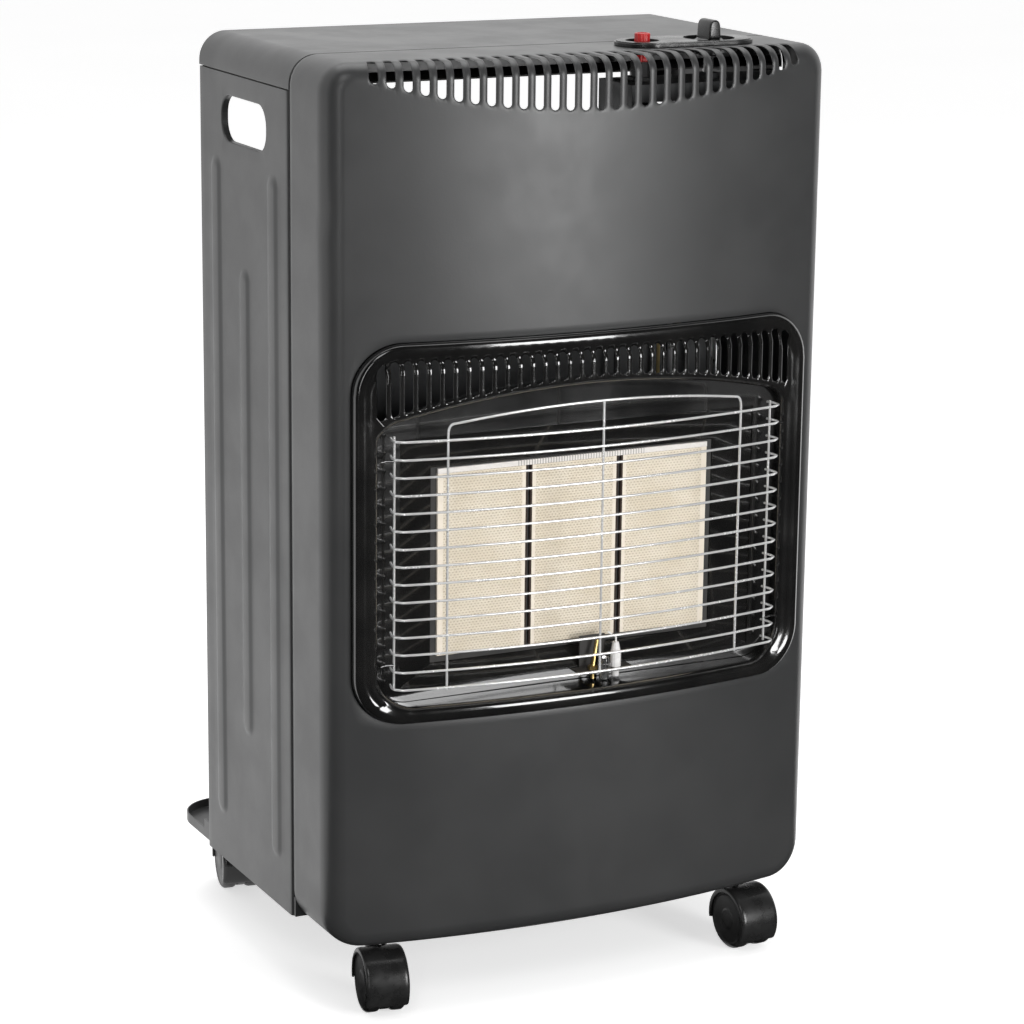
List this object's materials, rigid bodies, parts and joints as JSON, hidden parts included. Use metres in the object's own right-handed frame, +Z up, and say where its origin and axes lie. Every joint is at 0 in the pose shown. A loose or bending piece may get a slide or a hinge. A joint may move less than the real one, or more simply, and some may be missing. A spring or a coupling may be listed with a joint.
{
  "type": "portable gas cabinet heater",
  "caption": "Upright sheet-steel gas cabinet heater on twin-wheel castors, with a bowed louvred front, an arched window with ceramic plaques behind a wire guard, and top controls.",
  "frame": {"origin": "on the floor under the centre of the overall box", "axes": "+Z up, -Y to the front with the plaques, +X to the right of someone facing the front"},
  "size_m": [0.423, 0.3791, 0.7535],
  "materials": {
    "charcoal_paint": "satin",
    "black_enamel": "gloss",
    "soot_black": "matte",
    "galvanised": "satin",
    "chrome": "polished",
    "steel": "satin",
    "brass": "satin",
    "ceramic": "matte",
    "fibre": "matte",
    "porcelain": "gloss",
    "black_plastic": "satin",
    "red_plastic": "gloss",
    "rubber": "matte"
  },
  "bodies": {
    "cabinet": {"front_panel": "charcoal_paint", "top_cover": "charcoal_paint", "side_panel_left": "charcoal_paint", "side_panel_right": "charcoal_paint", "base_tray": "charcoal_paint", "heat_shield": "galvanised", "top_deflector": "soot_black", "window_trim": "black_enamel", "burner_housing": "black_enamel", "plaque_left": "ceramic", "plaque_centre": "ceramic", "plaque_right": "ceramic", "plaque_frame": "soot_black", "top_gasket": "fibre", "mixing_tube_left": "galvanised", "mixing_tube_centre": "galvanised", "mixing_tube_right": "galvanised", "injector_rail": "brass", "wire_guard": "chrome", "guard_frame": "chrome", "control_bracket": "galvanised", "control_bezel": "black_plastic", "gas_valve": "galvanised", "igniter_body": "black_plastic", "pilot_bracket": "soot_black", "pilot_burner": "brass", "spark_electrode": "porcelain", "thermocouple": "brass", "burner_pipe": "steel", "pilot_pipe": "steel", "inlet_pipe": "steel", "hose_tail": "brass", "ignition_lead": "rubber", "thermocouple_lead": "brass", "castor_stem_front_left": "steel", "castor_stem_front_right": "steel", "castor_stem_rear_left": "steel", "castor_stem_rear_right": "steel"},
    "spindle": {"valve_spindle": "steel"},
    "knob": {"control_knob": "black_plastic"},
    "igniter_button": {"igniter_button": "red_plastic"},
    "rear_cover": {"rear_cover": "soot_black"},
    "castor_front_left": {"castor_hood_front_left": "black_plastic", "castor_axle_front_left": "steel"},
    "wheel_front_left_left": {"castor_wheel_front_left_left": "rubber"},
    "wheel_front_left_right": {"castor_wheel_front_left_right": "rubber"},
    "castor_front_right": {"castor_hood_front_right": "black_plastic", "castor_axle_front_right": "steel"},
    "wheel_front_right_left": {"castor_wheel_front_right_left": "rubber"},
    "wheel_front_right_right": {"castor_wheel_front_right_right": "rubber"},
    "castor_rear_left": {"castor_hood_rear_left": "black_plastic", "castor_axle_rear_left": "steel"},
    "wheel_rear_left_left": {"castor_wheel_rear_left_left": "rubber"},
    "wheel_rear_left_right": {"castor_wheel_rear_left_right": "rubber"},
    "castor_rear_right": {"castor_hood_rear_right": "black_plastic", "castor_axle_rear_right": "steel"},
    "wheel_rear_right_left": {"castor_wheel_rear_right_left": "rubber"},
    "wheel_rear_right_right": {"castor_wheel_rear_right_right": "rubber"}
  },
  "joints": [
    {"name": "knob_turn", "type": "hinge", "parent": "cabinet", "child": "spindle", "pos_m": [0.124, -0.1131, 0.72], "axis": [0, 0, 1], "range_deg": [0, 210]},
    {"name": "knob_press", "type": "slide", "parent": "spindle", "child": "knob", "axis": [0, 0, -1], "range_m": [0, 0.004], "stiffness_N_per_m": 600, "springref_m": -0.002},
    {"name": "igniter_press", "type": "slide", "parent": "cabinet", "child": "igniter_button", "axis": [0, 0, -1], "range_m": [0, 0.005], "stiffness_N_per_m": 600, "springref_m": -0.002},
    {"name": "rear_cover_lift", "type": "slide", "parent": "cabinet", "child": "rear_cover", "axis": [0, 0, 1], "range_m": [0, 0.03]},
    {"name": "swivel_front_left", "type": "hinge", "parent": "cabinet", "child": "castor_front_left", "pos_m": [-0.16, -0.1261, 0.05], "axis": [0, 0, 1], "continuous": true},
    {"name": "roll_front_left_left", "type": "hinge", "parent": "castor_front_left", "child": "wheel_front_left_left", "pos_m": [-0.1626, -0.14088, 0.0245], "axis": [0.9848, -0.1736, 0], "continuous": true},
    {"name": "roll_front_left_right", "type": "hinge", "parent": "castor_front_left", "child": "wheel_front_left_right", "pos_m": [-0.1626, -0.14088, 0.0245], "axis": [0.9848, -0.1736, 0], "continuous": true},
    {"name": "swivel_front_right", "type": "hinge", "parent": "cabinet", "child": "castor_front_right", "pos_m": [0.16, -0.1261, 0.05], "axis": [0, 0, 1], "continuous": true},
    {"name": "roll_front_right_left", "type": "hinge", "parent": "castor_front_right", "child": "wheel_front_right_left", "pos_m": [0.16079, -0.14108, 0.0245], "axis": [0.9986, 0.0523, 0], "continuous": true},
    {"name": "roll_front_right_right", "type": "hinge", "parent": "castor_front_right", "child": "wheel_front_right_right", "pos_m": [0.16079, -0.14108, 0.0245], "axis": [0.9986, 0.0523, 0], "continuous": true},
    {"name": "swivel_rear_left", "type": "hinge", "parent": "cabinet", "child": "castor_rear_left", "pos_m": [-0.16, 0.17189, 0.05], "axis": [0, 0, 1], "continuous": true},
    {"name": "roll_rear_left_left", "type": "hinge", "parent": "castor_rear_left", "child": "wheel_rear_left_left", "pos_m": [-0.1626, 0.15712, 0.0245], "axis": [0.9848, -0.1736, 0], "continuous": true},
    {"name": "roll_rear_left_right", "type": "hinge", "parent": "castor_rear_left", "child": "wheel_rear_left_right", "pos_m": [-0.1626, 0.15712, 0.0245], "axis": [0.9848, -0.1736, 0], "continuous": true},
    {"name": "swivel_rear_right", "type": "hinge", "parent": "cabinet", "child": "castor_rear_right", "pos_m": [0.16, 0.17189, 0.05], "axis": [0, 0, 1], "continuous": true},
    {"name": "roll_rear_right_left", "type": "hinge", "parent": "castor_rear_right", "child": "wheel_rear_right_left", "pos_m": [0.16157, 0.15698, 0.0245], "axis": [0.9945, 0.1045, 0], "continuous": true},
    {"name": "roll_rear_right_right", "type": "hinge", "parent": "castor_rear_right", "child": "wheel_rear_right_right", "pos_m": [0.16157, 0.15698, 0.0245], "axis": [0.9945, 0.1045, 0], "continuous": true}
  ]
}
